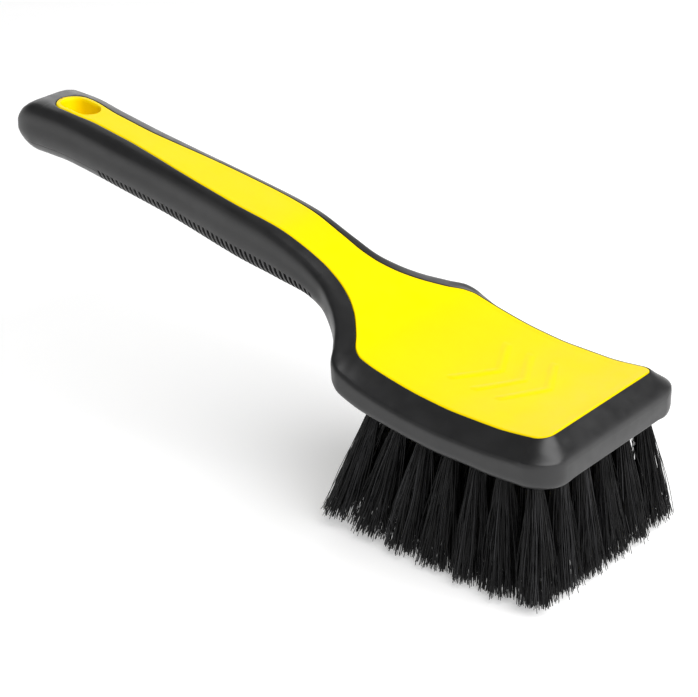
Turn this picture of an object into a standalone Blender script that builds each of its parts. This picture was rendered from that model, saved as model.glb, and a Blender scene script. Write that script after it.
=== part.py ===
"""Short-handled wheel brush: a hard yellow core, a black rubber grip moulded round it and
42 black bristle tufts set in blind holes. Metres, +X to the nose of the head, +Z up,
bristle tips at Z = 0, handle raised as it lies when the head stands level."""

import math

import bmesh
import bpy
from mathutils import Vector

MM = 0.001

# Overall sizes, in millimetres.
NOSE_X = 141.0
END_X = -134.5
FRAME_SHIFT = (-4.2, 0.0, 2.5)   # puts the origin under the middle of the brush, at its tips
FACE_TIP_X = -119.5          # handle end of the yellow face
FACE_NOSE_X = 133.8          # front edge of the yellow face
FACE_TIP_RADIUS = 7.3
FACE_CORNER_RADIUS = 5.0
RIM_WIDTH = NOSE_X - FACE_NOSE_X
RIM_CORNER_RADIUS = 11.0
END_ROUND = 11.0             # rounding of the handle end, seen from the side
END_CORNER = 4.5             # rounding of the handle end, seen from above
GAP = 0.3                    # clearance between touching pieces
SLEEVE = 3.2                 # grip wall over the core in the handle
LIP = 2.5                    # grip depth beside the yellow strip

# The hang hole.
HOLE_X = -109.1
HOLE_HALF_LENGTH = 8.3
HOLE_HALF_WIDTH = 5.0
HOLE_LINER_WALL = 1.4

# Grip grooves across the underside of the handle.
GROOVE_COUNT = 46
GROOVE_FIRST_X = -89.0
GROOVE_PITCH = 2.4
GROOVE_WIDTH = 1.2
GROOVE_DEPTH = 0.9

# Bristle tufts.
TUFT_ROWS = 7                # along the head
TUFT_COLUMNS = 6             # across the head
TUFT_FIRST_X = 63.8
TUFT_LAST_X = 128.2
TUFT_SIDE_Y = 29.4           # outermost columns
TUFT_ROOT_RADIUS = 2.2
TUFT_TIP_RADIUS = 6.1
TUFT_HOLE_DEPTH = 9.0
TUFT_TILT_BACK = 16.0        # degrees, rearmost row
TUFT_TILT_FRONT = 11.0       # degrees, foremost row
TUFT_TILT_SIDE = 8.0         # degrees, outermost columns
TUFT_SIDES = 12
TIP_CROWN_X = 102.0          # the tips are trimmed to a shallow crown, lowest here
TIP_CROWN_RISE = 4.8
TIP_CROWN_REACH = 56.0
TIP_SIDE_RISE = 1.2          # height gained by the outermost columns
TIP_CROWN_FLAT = 3.0         # level part of the crown, on each side of its lowest place

# Height of the top face along the brush.
TOP_HEIGHT = (
    (-140.0, 104.6), (-125.0, 105.5), (-112.0, 105.2), (-100.0, 103.8), (-79.5, 100.8),
    (-50.5, 96.6), (-21.5, 92.1), (0.0, 88.4), (13.5, 83.8), (28.5, 77.2), (42.5, 71.1),
    (56.5, 64.6), (71.0, 60.9),
    (85.0, 58.6), (99.5, 57.5), (113.5, 57.5), (129.5, 59.0), (133.0, 59.6), (140.0, 60.8),
)
# Half width of the yellow face along the brush.
FACE_HALF_WIDTH = (
    (-140.0, 7.3), (-116.0, 7.3), (-108.0, 7.2), (-94.0, 5.9), (-79.5, 5.9), (-65.0, 6.8),
    (-50.5, 8.1), (-36.0, 9.1), (-15.0, 9.9), (0.0, 9.5), (14.0, 9.0), (21.0, 9.1),
    (28.0, 10.2), (35.0, 12.8), (42.3, 17.6), (49.4, 24.9), (54.5, 31.0), (58.0, 32.6),
    (64.0, 32.9), (100.0, 32.6), (129.0, 32.1), (140.0, 32.0),
)
# Half width of the whole brush.
BODY_HALF_WIDTH = (
    (-140.0, 13.6), (-118.0, 13.5), (-98.0, 12.7), (-60.0, 12.6), (-12.0, 14.3), (14.0, 14.6),
    (24.0, 15.9), (33.0, 20.4), (40.0, 26.0), (46.0, 33.2), (50.0, 38.8), (54.0, 40.4),
    (60.0, 40.5), (100.0, 40.2), (140.0, 39.9),
)
# Depth of the handle and head below the top face.
BODY_DEPTH = (
    (-140.0, 22.0), (-108.0, 21.6), (-63.0, 21.8), (-20.0, 23.0), (0.0, 22.0),
    (16.0, 18.2), (30.0, 16.2), (42.0, 17.0), (50.0, 15.8), (56.0, 15.0), (62.0, 14.6),
    (80.0, 14.0), (104.0, 14.0), (122.0, 14.8), (141.0, 16.4),
)
# Places where the brush is sectioned, shared by the grip and the core.
SHARED_STATIONS = (
    -108.0, -98.0, -88.0, -76.0, -64.0, -50.0, -36.0, -22.0, -8.0, 3.0, 12.0, 18.0, 24.0,
    28.5, 33.0, 37.5, 42.0, 46.0, 49.5, 52.5, 54.5, 56.0, 58.0, 60.0, 62.0, 66.0, 72.0,
    80.0, 90.0, 100.0, 110.0, 120.0, 128.0,
)
OPENING_START_X = 57.0       # rear edge of the opening under the head
OPENING_SLOPE = 3.0
# Drop of the widest line of the body, which becomes the crease of the rim, below the top.
CREASE_DROP = (
    (-140.0, 8.0), (-10.0, 8.0), (20.0, 7.2), (40.0, 5.2), (50.0, 4.7),
    (56.0, 5.3), (61.0, 5.7), (70.0, 5.8), (120.0, 5.9), (141.0, 7.4),
)
# 0 where the section is the round handle, 1 where it is the flat head.
HEAD_SHARE = ((-140.0, 0.0), (18.0, 0.0), (40.0, 0.45), (56.0, 0.92), (64.0, 1.0), (140.0, 1.0))


def curve_value(knots, x):
    """Height of a smooth curve through the knots that never overshoots them."""
    last = len(knots) - 1
    i = 0
    while i < last - 1 and x > knots[i + 1][0]:
        i += 1

    def slope(k):
        return (knots[k + 1][1] - knots[k][1]) / (knots[k + 1][0] - knots[k][0])

    def tangent(k):
        if k in (0, last):
            return slope(min(k, last - 1))
        before = slope(k - 1)
        after = slope(k)
        if before * after <= 0.0:
            return 0.0
        return 2.0 * before * after / (before + after)

    (x0, y0), (x1, y1) = knots[i], knots[i + 1]
    width = x1 - x0
    t = min(max((x - x0) / width, 0.0), 1.0)
    return (
        y0 * (1 + 2 * t) * (1 - t) ** 2
        + y1 * t * t * (3 - 2 * t)
        + tangent(i) * width * t * (1 - t) ** 2
        - tangent(i + 1) * width * t * t * (1 - t)
    )


def blend(a, b, share):
    return a + (b - a) * share


def clear_scene():
    for obj in list(bpy.data.objects):
        bpy.data.objects.remove(obj)
    for mesh in list(bpy.data.meshes):
        bpy.data.meshes.remove(mesh)


def material(name, colour, roughness, metallic=0.0):
    made = bpy.data.materials.new(name)
    made.use_nodes = True
    shader = made.node_tree.nodes["Principled BSDF"]
    shader.inputs["Base Color"].default_value = (*colour, 1.0)
    shader.inputs["Roughness"].default_value = roughness
    shader.inputs["Metallic"].default_value = metallic
    made.diffuse_color = (*colour, 1.0)
    return made


def loft(name, sections):
    """A closed body through sections of equal point count, given in millimetres."""
    shape = bmesh.new()
    shift = Vector(FRAME_SHIFT)
    rings = [[shape.verts.new((Vector(p) + shift) * MM) for p in ring] for ring in sections]
    count = len(rings[0])
    for near, far in zip(rings, rings[1:]):
        for i in range(count):
            j = (i + 1) % count
            shape.faces.new((near[i], near[j], far[j], far[i]))
    shape.faces.new(reversed(rings[0]))
    shape.faces.new(rings[-1])
    bmesh.ops.recalc_face_normals(shape, faces=shape.faces)
    bmesh.ops.triangulate(shape, faces=shape.faces)
    mesh = bpy.data.meshes.new(name)
    shape.to_mesh(mesh)
    shape.free()
    return mesh


def add_object(name, mesh, surface=None):
    obj = bpy.data.objects.new(name, mesh)
    bpy.context.scene.collection.objects.link(obj)
    if surface:
        mesh.materials.append(surface)
    return obj


def add_cutter(name, mesh):
    cutter = add_object(name, mesh)
    cutter.hide_render = True
    cutter.display_type = "WIRE"
    return cutter


def cut(obj, cutter, operation="DIFFERENCE"):
    step = obj.modifiers.new(operation.title() + "_" + cutter.name, "BOOLEAN")
    step.operation = operation
    step.solver = "EXACT"
    step.object = cutter


def whole_section(half, x):
    """The points of a half section mirrored to the other side."""
    return [(x, y, z) for y, z in half] + [(x, -y, z) for y, z in reversed(half[1:-1])]


def body_half(x, groove=0.0):
    """Half section of the whole brush, from the top centre to the bottom centre."""
    top = curve_value(TOP_HEIGHT, x)
    face = curve_value(FACE_HALF_WIDTH, x)
    half = curve_value(BODY_HALF_WIDTH, x)
    bottom = top - curve_value(BODY_DEPTH, x)
    crease = top - curve_value(CREASE_DROP, x)
    share = curve_value(HEAD_SHARE, x)
    depth = crease - bottom
    shelf = (blend(face, half, blend(0.70, 0.45, share)), blend(top, crease, 0.09 + 0.39 * share))
    shoulder = (blend(face, half, blend(0.95, 0.88, share)), blend(top, crease, 0.40 + 0.48 * share))
    handle = (
        (half, crease - 0.32 * depth),
        (0.93 * half - 0.5 * groove, crease - 0.56 * depth),
        (0.72 * half - 0.8 * groove, crease - 0.84 * depth + 0.5 * groove),
        (0.40 * half - 0.3 * groove, bottom + 0.5 + 0.9 * groove),
        (0.0, bottom + groove),
    )
    head = (
        (half, crease - 0.45 * depth),
        (half - 0.15, bottom + 1.6),
        (half - 1.4, bottom + 0.2),
        (face - 1.0, bottom),
        (0.0, bottom),
    )
    lower = [
        (blend(a[0], b[0], share), blend(a[1], b[1], share)) for a, b in zip(handle, head)
    ]
    return [(0.0, top), (face, top), shelf, shoulder, (half, crease)] + lower


def shrunk(half, side_inset, end_inset):
    """A half section drawn in towards its own middle, for the rounded handle end."""
    widest = max(y for y, z in half)
    high = half[0][1]
    low = half[-1][1]
    factor = (widest - side_inset) / widest
    middle = blend(low, high, 0.48)
    squeeze = (high - low - 2.0 * end_inset) / (high - low)
    return [(y * factor, middle + (z - middle) * squeeze) for y, z in half]


def nose_half(x):
    """Half section in the rounded front corners of the rim."""
    along = max(0.0, x - (NOSE_X - RIM_CORNER_RADIUS))
    inset = RIM_CORNER_RADIUS - math.sqrt(max(0.0, RIM_CORNER_RADIUS**2 - along**2))
    slope = max(0.0, (x - FACE_NOSE_X) / RIM_WIDTH)
    half = body_half(x)
    widest = half[4][0]
    crease = half[4][1]
    face_corner = curve_value(FACE_HALF_WIDTH, x) - FACE_CORNER_RADIUS
    moved = []
    for i, (y, z) in enumerate(half):
        narrow = y - inset * (y / widest) if i >= 2 else min(y, face_corner)
        height = blend(z, crease, slope) if i <= 3 else z
        moved.append((narrow, height))
    if x < FACE_NOSE_X:
        moved[1] = (min(half[1][0], moved[2][0] - 1.0), half[1][1])
    return moved


def body_sections():
    """Every section of the outer body from the handle end to the nose."""
    sections = []
    for degrees in (84.0, 66.0, 48.0, 28.0, 8.0):
        turn = math.radians(degrees)
        x = END_X + END_ROUND * (1.0 - math.sin(turn))
        round_off = 1.0 - math.cos(turn)
        half = shrunk(body_half(x), END_CORNER * round_off, END_ROUND * round_off)
        sections.append(whole_section(half, x))
    for x in (-120.0, -114.0) + SHARED_STATIONS:
        sections.append(whole_section(body_half(x), x))
    for x in (130.5, FACE_NOSE_X, 136.2, 138.4, 140.0):
        sections.append(whole_section(nose_half(x), x))
    last = nose_half(NOSE_X - 0.15)
    bottom = last[-1][1]
    last = [(y * 0.97, max(z, bottom + 1.2)) if i < 7 else (y * 0.97, z + 1.2)
            for i, (y, z) in enumerate(last)]
    sections.append(whole_section(last, NOSE_X))
    return sections


def core_half(x, gap, half_width):
    """Half section of the core. A gap above zero gives the hollow that it sits in."""
    top = curve_value(TOP_HEIGHT, x)
    body = curve_value(BODY_HALF_WIDTH, x)
    bottom = top - curve_value(BODY_DEPTH, x)
    share = curve_value(HEAD_SHARE, x)
    crown = 4.0 if gap else 0.25
    face = half_width + gap
    inner = max(blend(body - SLEEVE, half_width, share ** 0.5), half_width) + gap
    opened = min(max((x - OPENING_START_X + gap) / OPENING_SLOPE, 0.0), 1.0)
    low_head = bottom - 4.0 if gap else bottom + 0.6
    floor = blend(bottom + SLEEVE - gap, low_head, opened)
    height = top - LIP - floor
    return [
        (0.0, top + crown),
        (face - (0.0 if gap else 0.5), top + crown),
        (face, top + (crown if gap else -0.1) - (0.5 if gap else 0.0)),
        (face, top - LIP + gap),
        (inner, top - LIP - blend(3.0, 0.4, share) + gap),
        (inner, floor + blend(0.34, 0.02, share) * height),
        (blend(0.62 * inner, inner, share), floor),
        (0.0, floor),
    ]


def core_sections(gap):
    """Sections of the core from the round tip of its face to the corners of its nose."""
    sections = []
    tip = FACE_TIP_RADIUS + gap
    centre = FACE_TIP_X + FACE_TIP_RADIUS
    for degrees in (17.0, 35.0, 55.0, 75.0, 90.0):
        turn = math.radians(degrees)
        x = centre - tip * math.cos(turn)
        width = FACE_TIP_RADIUS * math.sin(turn)
        half = core_half(x, gap, width)
        reach = max(y for y, z in half)
        limit = (width + gap) + 1.4 * math.sin(turn)
        factor = min(1.0, limit / reach)
        half = half[:4] + [(y * factor, z) for y, z in half[4:]]
        sections.append(whole_section(half, x))
    for x in SHARED_STATIONS[:-1]:
        sections.append(whole_section(core_half(x, gap, curve_value(FACE_HALF_WIDTH, x)), x))
    corner = FACE_CORNER_RADIUS + gap
    corner_x = FACE_NOSE_X - FACE_CORNER_RADIUS
    for degrees in (0.0, 25.0, 50.0, 70.0, 90.0):
        turn = math.radians(degrees)
        x = corner_x + corner * math.sin(turn)
        inset = corner * (1.0 - math.cos(turn)) - gap
        width = curve_value(FACE_HALF_WIDTH, corner_x) - inset - gap
        sections.append(whole_section(core_half(x, gap, width), x))
    return sections


def groove_cutters():
    """One mesh holding the U-shaped cutter of every grip groove."""
    joined = bmesh.new()
    for k in range(GROOVE_COUNT):
        x = GROOVE_FIRST_X + k * GROOVE_PITCH
        rings = []
        for here in (x, x + GROOVE_WIDTH):
            low = body_half(here, groove=GROOVE_DEPTH)[6:]
            start_y, start_z = body_half(here)[6]
            floor = [(start_y + 0.02, start_z + 0.3)] + low[1:]
            outer = [(start_y + 4.0, start_z + 0.3), (start_y + 4.0, low[-1][1] - 6.0)]
            right = [(here, y, z) for y, z in floor]
            left = [(here, -y, z) for y, z in reversed(floor[:-1])]
            box = [(here, -y, z) for y, z in outer] + [(here, y, z) for y, z in reversed(outer)]
            rings.append(right + left + box)
        mesh = loft("groove", rings)
        joined.from_mesh(mesh)
        bpy.data.meshes.remove(mesh)
    mesh = bpy.data.meshes.new("grip_grooves")
    joined.to_mesh(mesh)
    joined.free()
    return mesh


def handle_faces(x):
    """Heights of the underside and the top of the handle."""
    top = curve_value(TOP_HEIGHT, x)
    return top - curve_value(BODY_DEPTH, x), top


def oval_prism(name, half_length, half_width, low, high, sides=28):
    """An upright oval prism at the hang hole, its ends a height above each handle face."""
    rings = []
    for level, height in enumerate((low, high)):
        ring = []
        for i in range(sides):
            turn = 2.0 * math.pi * i / sides
            straight = half_length - half_width
            x = HOLE_X + half_width * math.cos(turn) + math.copysign(straight, math.cos(turn))
            faces = handle_faces(x)
            ring.append((x, half_width * math.sin(turn), faces[level] + height))
        rings.append(ring)
    return loft(name, rings)


def tuft_places():
    """Row, column, root centre, lean and tip height of every tuft."""
    places = []
    innermost = 1.0 / (TUFT_COLUMNS - 1)
    for row in range(TUFT_ROWS):
        along = row / (TUFT_ROWS - 1)
        x = blend(TUFT_FIRST_X, TUFT_LAST_X, along)
        lean_x = blend(-TUFT_TILT_BACK, TUFT_TILT_FRONT, along)
        for column in range(TUFT_COLUMNS):
            across = 2.0 * column / (TUFT_COLUMNS - 1) - 1.0
            y = across * TUFT_SIDE_Y
            lean_y = across * TUFT_TILT_SIDE
            bottom = curve_value(TOP_HEIGHT, x) - curve_value(BODY_DEPTH, x)
            lean = Vector((math.tan(math.radians(lean_x)), math.tan(math.radians(lean_y)), -1.0))
            tip_x = x + lean.x * bottom
            reach = max(0.0, abs(tip_x - TIP_CROWN_X) - TIP_CROWN_FLAT)
            crown = TIP_CROWN_RISE * (reach / TIP_CROWN_REACH) ** 2
            side = TIP_SIDE_RISE * (across**2 - innermost**2)
            tip = crown + side - FRAME_SHIFT[2]
            places.append((row, column, Vector((x, y, bottom)), lean, tip))
    return places


def ring_round(centre, radius, sides=TUFT_SIDES):
    points = []
    for i in range(sides):
        turn = 2.0 * math.pi * (i + 0.5) / sides
        points.append(
            (centre.x + radius * math.cos(turn), centre.y + radius * math.sin(turn), centre.z)
        )
    return points


def tuft_holes():
    """One mesh holding the cutter of every tuft hole."""
    joined = bmesh.new()
    for row, column, root, lean, tip in tuft_places():
        deep = root - lean * TUFT_HOLE_DEPTH
        shallow = root + lean * 3.0
        radius = TUFT_ROOT_RADIUS + GAP
        mesh = loft("hole", [ring_round(shallow, radius), ring_round(deep, radius)])
        joined.from_mesh(mesh)
        bpy.data.meshes.remove(mesh)
    mesh = bpy.data.meshes.new("tuft_holes")
    joined.to_mesh(mesh)
    joined.free()
    return mesh


def tuft_mesh(name, root, lean, tip):
    """A bundle of bristles: a tight root in its hole that opens out to the trimmed tip."""
    fall = root.z - tip
    stops = (
        (-(TUFT_HOLE_DEPTH - GAP), TUFT_ROOT_RADIUS),
        (0.0, TUFT_ROOT_RADIUS),
        (0.12 * fall, TUFT_ROOT_RADIUS + 0.9),
        (0.45 * fall, blend(TUFT_ROOT_RADIUS, TUFT_TIP_RADIUS, 0.62)),
        (fall, TUFT_TIP_RADIUS),
    )
    return loft(name, [ring_round(root + lean * down, radius) for down, radius in stops])


def build_core(surface):
    core = add_object("core", loft("core", core_sections(0.0)), surface)
    liner = oval_prism(
        "liner_shape", HOLE_HALF_LENGTH + HOLE_LINER_WALL, HOLE_HALF_WIDTH + HOLE_LINER_WALL,
        0.4, -1.0,
    )
    cut(core, add_cutter("liner_shape", liner), "UNION")
    hole = oval_prism("hang_hole", HOLE_HALF_LENGTH, HOLE_HALF_WIDTH, -9.0, 9.0)
    cut(core, add_cutter("hang_hole", hole))
    cut(core, add_cutter("tuft_holes", tuft_holes()))
    return core


def build_grip(surface):
    grip = add_object("grip_overmould", loft("grip_overmould", body_sections()), surface)
    cut(grip, add_cutter("core_hollow", loft("core_hollow", core_sections(GAP))))
    liner = oval_prism(
        "liner_hollow", HOLE_HALF_LENGTH + HOLE_LINER_WALL + GAP,
        HOLE_HALF_WIDTH + HOLE_LINER_WALL + GAP, -9.0, 9.0,
    )
    cut(grip, add_cutter("liner_hollow", liner))
    cut(grip, add_cutter("grip_grooves", groove_cutters()))
    return grip


def build_tufts(surface):
    for row, column, root, lean, tip in tuft_places():
        name = f"tuft_row{row + 1}_col{column + 1}"
        add_object(name, tuft_mesh(name, root, lean, tip), surface)


def smooth_round_pieces():
    for obj in bpy.data.objects:
        obj.data.shade_smooth()
        if obj.name.startswith("tuft_row"):
            continue
        obj.data.set_sharp_from_angle(angle=math.radians(32.0))


def main():
    clear_scene()
    yellow = material("core_yellow", (1.0, 0.78, 0.0), 0.35)
    black = material("grip_black", (0.022, 0.022, 0.023), 0.5)
    bristle = material("bristle_black", (0.012, 0.012, 0.013), 0.55)
    build_core(yellow)
    build_grip(black)
    build_tufts(bristle)
    smooth_round_pieces()


main()
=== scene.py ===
"""Looks of the wheel brush: a glossy yellow core, a black rubber grip moulded round it with fine
ribs under the handle, and 42 bristle tufts made of single filaments. The photo doesn't show what
holds the tufts, so the steel anchors are a guess. Lengths are in millimetres until a mesh is made;
the frame is the CAD model's."""

import math

import bmesh
import bpy
import numpy as np
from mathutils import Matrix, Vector


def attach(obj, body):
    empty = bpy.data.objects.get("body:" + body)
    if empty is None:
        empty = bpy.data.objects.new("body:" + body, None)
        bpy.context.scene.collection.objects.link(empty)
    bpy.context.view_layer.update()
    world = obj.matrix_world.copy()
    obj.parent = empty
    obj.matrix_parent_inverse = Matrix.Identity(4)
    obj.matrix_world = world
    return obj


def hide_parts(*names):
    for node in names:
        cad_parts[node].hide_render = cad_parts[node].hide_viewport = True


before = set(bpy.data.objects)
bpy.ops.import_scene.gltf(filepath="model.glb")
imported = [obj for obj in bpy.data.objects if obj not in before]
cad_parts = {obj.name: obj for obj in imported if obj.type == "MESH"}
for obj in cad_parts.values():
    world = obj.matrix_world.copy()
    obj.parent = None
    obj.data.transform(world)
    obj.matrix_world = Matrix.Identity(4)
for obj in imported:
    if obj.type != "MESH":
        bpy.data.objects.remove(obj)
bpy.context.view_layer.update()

MM = 0.001
SEED = 20

# Overall sizes, the same as the CAD model's.
NOSE_X = 141.0
END_X = -134.5
FRAME_SHIFT = (-4.2, 0.0, 2.5)
FACE_TIP_X = -119.5
FACE_NOSE_X = 133.8
FACE_TIP_RADIUS = 7.3
FACE_CORNER_RADIUS = 5.0
RIM_CORNER_RADIUS = 11.0
END_ROUND = 11.0
END_CORNER = 4.5
GAP = 0.3
SLEEVE = 3.2
LIP = 2.5
HOLE_X = -109.1
HOLE_HALF_LENGTH = 8.3
HOLE_HALF_WIDTH = 5.0
HOLE_LINER_WALL = 1.4
GROOVE_COUNT = 46
GROOVE_FIRST_X = -89.0
GROOVE_PITCH = 2.4
GROOVE_DEPTH = 0.9
OPENING_START_X = 57.0
TUFT_ROWS = 7
TUFT_COLUMNS = 6
TUFT_FIRST_X = 63.8
TUFT_LAST_X = 128.2
TUFT_SIDE_Y = 29.4
TUFT_ROOT_RADIUS = 2.2
TUFT_TIP_RADIUS = 6.1
TUFT_HOLE_DEPTH = 9.0
TUFT_TILT_BACK = 16.0
TUFT_TILT_FRONT = 11.0
TUFT_TILT_SIDE = 8.0
TIP_CROWN_X = 102.0
TIP_CROWN_RISE = 4.8
TIP_CROWN_REACH = 56.0
TIP_SIDE_RISE = 1.2
TIP_CROWN_FLAT = 3.0

# Fine detail that only the visual pieces have.
EDGE_ROUND = 1.8             # rounding of the front edge of the rim
LIP_DROP = 0.12              # softened edge of the rubber along the yellow face
LIP_REACH = 0.2
SHUT_GAP = 0.27              # visible shut line between rubber and yellow
SEAM_DEPTH = 0.1             # mould parting line on the side of the handle
CORE_CROWN = 0.1             # the yellow face stands this proud
CORE_EDGE = 0.7
BAR_RISE = 0.24              # relief on the head face
BAR_HALF_WIDTH = 1.3
BAR_REACH = 17.0             # from the centre line to the end of a bar
BAR_CENTRES = (88.0, 98.0, 108.0)
FACE_STEPS = 40              # points across half of the yellow face
LIP_STEPS = 9                # points of the outside that the edge by the yellow face moves
INSIDE_STEPS = 8             # points along the inside of a grip section
STRANDS = 280                # filaments in a tuft
STRAND_RADIUS = 0.155
STRAND_STEPS = 9
STRAND_SIDES = 4
SOFT_BOX_POWER = 56.0        # watts
FLOOR_HALF = 6.0             # metres
NO_LIMIT = 1e9               # a half width that never counts

TOP_HEIGHT = (
    (-140.0, 104.6), (-125.0, 105.5), (-112.0, 105.2), (-100.0, 103.8), (-79.5, 100.8),
    (-50.5, 96.6), (-21.5, 92.1), (0.0, 88.4), (13.5, 83.8), (28.5, 77.2), (42.5, 71.1),
    (56.5, 64.6), (71.0, 60.9),
    (85.0, 58.6), (99.5, 57.5), (113.5, 57.5), (129.5, 59.0), (133.0, 59.6), (140.0, 60.8),
)
FACE_HALF_WIDTH = (
    (-140.0, 7.3), (-116.0, 7.3), (-108.0, 7.2), (-94.0, 5.9), (-79.5, 5.9), (-65.0, 6.8),
    (-50.5, 8.1), (-36.0, 9.1), (-15.0, 9.9), (0.0, 9.5), (14.0, 9.0), (21.0, 9.1),
    (28.0, 10.2), (35.0, 12.8), (42.3, 17.6), (49.4, 24.9), (54.5, 31.0), (58.0, 32.6),
    (64.0, 32.9), (100.0, 32.6), (129.0, 32.1), (140.0, 32.0),
)
BODY_HALF_WIDTH = (
    (-140.0, 13.6), (-118.0, 13.5), (-98.0, 12.7), (-60.0, 12.6), (-12.0, 14.3), (14.0, 14.6),
    (24.0, 15.9), (33.0, 20.4), (40.0, 26.0), (46.0, 33.2), (50.0, 38.8), (54.0, 40.4),
    (60.0, 40.5), (100.0, 40.2), (140.0, 39.9),
)
BODY_DEPTH = (
    (-140.0, 22.0), (-108.0, 21.6), (-63.0, 21.8), (-20.0, 23.0), (0.0, 22.0),
    (16.0, 18.2), (30.0, 16.2), (42.0, 17.0), (50.0, 15.8), (56.0, 15.0), (62.0, 14.6),
    (80.0, 14.0), (104.0, 14.0), (122.0, 14.8), (141.0, 16.4),
)
CREASE_DROP = (
    (-140.0, 8.0), (-10.0, 8.0), (20.0, 7.2), (40.0, 5.2), (50.0, 4.7),
    (56.0, 5.3), (61.0, 5.7), (70.0, 5.8), (120.0, 5.9), (141.0, 7.4),
)
HEAD_SHARE = ((-140.0, 0.0), (18.0, 0.0), (40.0, 0.45), (56.0, 0.92), (64.0, 1.0), (140.0, 1.0))

# How sharply the section turns at each of its control points, 0 for a smooth curve.
HANDLE_SHARPNESS = (1.0, 0.1, 0.1, 0.1, 0.0, 0.0, 0.0, 0.0, 0.0)
HEAD_SHARPNESS = (1.0, 0.7, 0.5, 0.9, 1.0, 0.1, 0.1, 1.0, 1.0)
# Reach of the rounding at each control point of the head's section.
HEAD_SOFTENING = (0.0, 0.8, 1.3, 1.6, 1.2, 1.2, 0.9, 0.0, 0.0)
# Where each stretch between two control points is sampled.
STRETCH_SAMPLES = (
    (0.0, 0.03, 0.08, 0.16, 0.3, 0.5, 0.75),
    (0.0, 0.2, 0.4, 0.6, 0.8),
    (0.0, 0.2, 0.4, 0.6, 0.8),
    (0.0, 0.08, 0.18, 0.3, 0.45, 0.65, 0.85),
    (0.0, 0.12, 0.24, 0.36, 0.48, 0.6, 0.72, 0.84, 0.93),
    (0.0, 0.06, 0.15, 0.27, 0.4, 0.55, 0.7, 0.85),
    (0.0, 0.12, 0.3, 0.5, 0.7, 0.85),
    (0.0, 0.15, 0.3, 0.45, 0.6, 0.75, 0.9),
)
CREASE_POINT = 3
SEAM_POINT = 5
# Depth of a rib groove over its width, from edge to edge.
GROOVE_PROFILE = (
    (-0.12, 0.0), (0.0, 0.2), (0.14, 0.85), (0.32, 1.0),
    (0.88, 1.0), (1.06, 0.85), (1.2, 0.2), (1.32, 0.0),
)


def curve_value(knots, x):
    """Height of a smooth curve through the knots that never overshoots them."""
    last = len(knots) - 1
    i = 0
    while i < last - 1 and x > knots[i + 1][0]:
        i += 1

    def slope(k):
        return (knots[k + 1][1] - knots[k][1]) / (knots[k + 1][0] - knots[k][0])

    def tangent(k):
        if k in (0, last):
            return slope(min(k, last - 1))
        before = slope(k - 1)
        after = slope(k)
        if before * after <= 0.0:
            return 0.0
        return 2.0 * before * after / (before + after)

    (x0, y0), (x1, y1) = knots[i], knots[i + 1]
    width = x1 - x0
    t = min(max((x - x0) / width, 0.0), 1.0)
    return (
        y0 * (1 + 2 * t) * (1 - t) ** 2
        + y1 * t * t * (3 - 2 * t)
        + tangent(i) * width * t * (1 - t) ** 2
        - tangent(i + 1) * width * t * t * (1 - t)
    )


def blend(a, b, share):
    return a + (b - a) * share


def smoothstep(low, high, value):
    t = min(max((value - low) / (high - low), 0.0), 1.0)
    return t * t * (3.0 - 2.0 * t)


def steps(start, end, count):
    """Evenly spaced values from start to end, the end left out."""
    return [start + (end - start) * i / count for i in range(count)]


def heights(x):
    """Top and bottom of the body at x."""
    top = curve_value(TOP_HEIGHT, x)
    return top, top - curve_value(BODY_DEPTH, x)


# ---- Section curves ----


def sampled(points, sharpness):
    """Points along a curve through the control points, sharper where sharpness is near 1."""
    last = len(points) - 1
    pts = [np.array(p) for p in points]
    into = []
    out_of = []
    for i, here in enumerate(pts):
        before = here - pts[i - 1] if i else pts[1] - here
        after = pts[i + 1] - here if i < last else here - pts[i - 1]
        span_before = np.linalg.norm(before)
        span_after = np.linalg.norm(after)
        total = max(span_before + span_after, 1e-6)
        smooth = (
            before / max(span_before, 1e-6) * span_after
            + after / max(span_after, 1e-6) * span_before
        ) / total
        if i == last:
            smooth = np.array((smooth[0], 0.0))
        into.append(blend(smooth * span_before, before, sharpness[i]))
        out_of.append(blend(smooth * span_after, after, sharpness[i]))
    curve = []
    for i, samples in enumerate(STRETCH_SAMPLES):
        for t in samples:
            curve.append(
                pts[i] * ((1 + 2 * t) * (1 - t) ** 2)
                + pts[i + 1] * (t * t * (3 - 2 * t))
                + out_of[i] * (t * (1 - t) ** 2)
                - into[i + 1] * (t * t * (1 - t))
            )
    curve.append(pts[last])
    return curve


def softened(curve, widths):
    """The curve averaged along its own length, over the reach given for each point."""
    pts = np.array(curve)
    length = np.concatenate([[0.0], np.cumsum(np.linalg.norm(np.diff(pts, axis=0), axis=1))])
    reach = np.minimum(np.minimum(widths, length), length[-1] - length)
    offsets = np.linspace(-1.0, 1.0, 9)
    places = length[:, None] + reach[:, None] * offsets[None]
    y = np.interp(places, length, pts[:, 0]).mean(axis=1)
    z = np.interp(places, length, pts[:, 1]).mean(axis=1)
    return np.stack([y, z], axis=1)


def point_index(control):
    """Index of a control point among the sampled points."""
    return sum(len(samples) for samples in STRETCH_SAMPLES[:control])


def outline_distance(x, y, width, gap):
    """How far a point on the top lies outside the outline of the yellow face."""
    tip_centre = FACE_TIP_X + FACE_TIP_RADIUS
    corner_x = FACE_NOSE_X - FACE_CORNER_RADIUS
    corner_y = curve_value(FACE_HALF_WIDTH, corner_x) - FACE_CORNER_RADIUS
    if x < tip_centre:
        return math.hypot(x - tip_centre, y) - FACE_TIP_RADIUS - gap
    if x > corner_x:
        out_x = x - corner_x
        out_y = max(y - corner_y, 0.0)
        return math.hypot(out_x, out_y) - FACE_CORNER_RADIUS - gap
    return y - width


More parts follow.
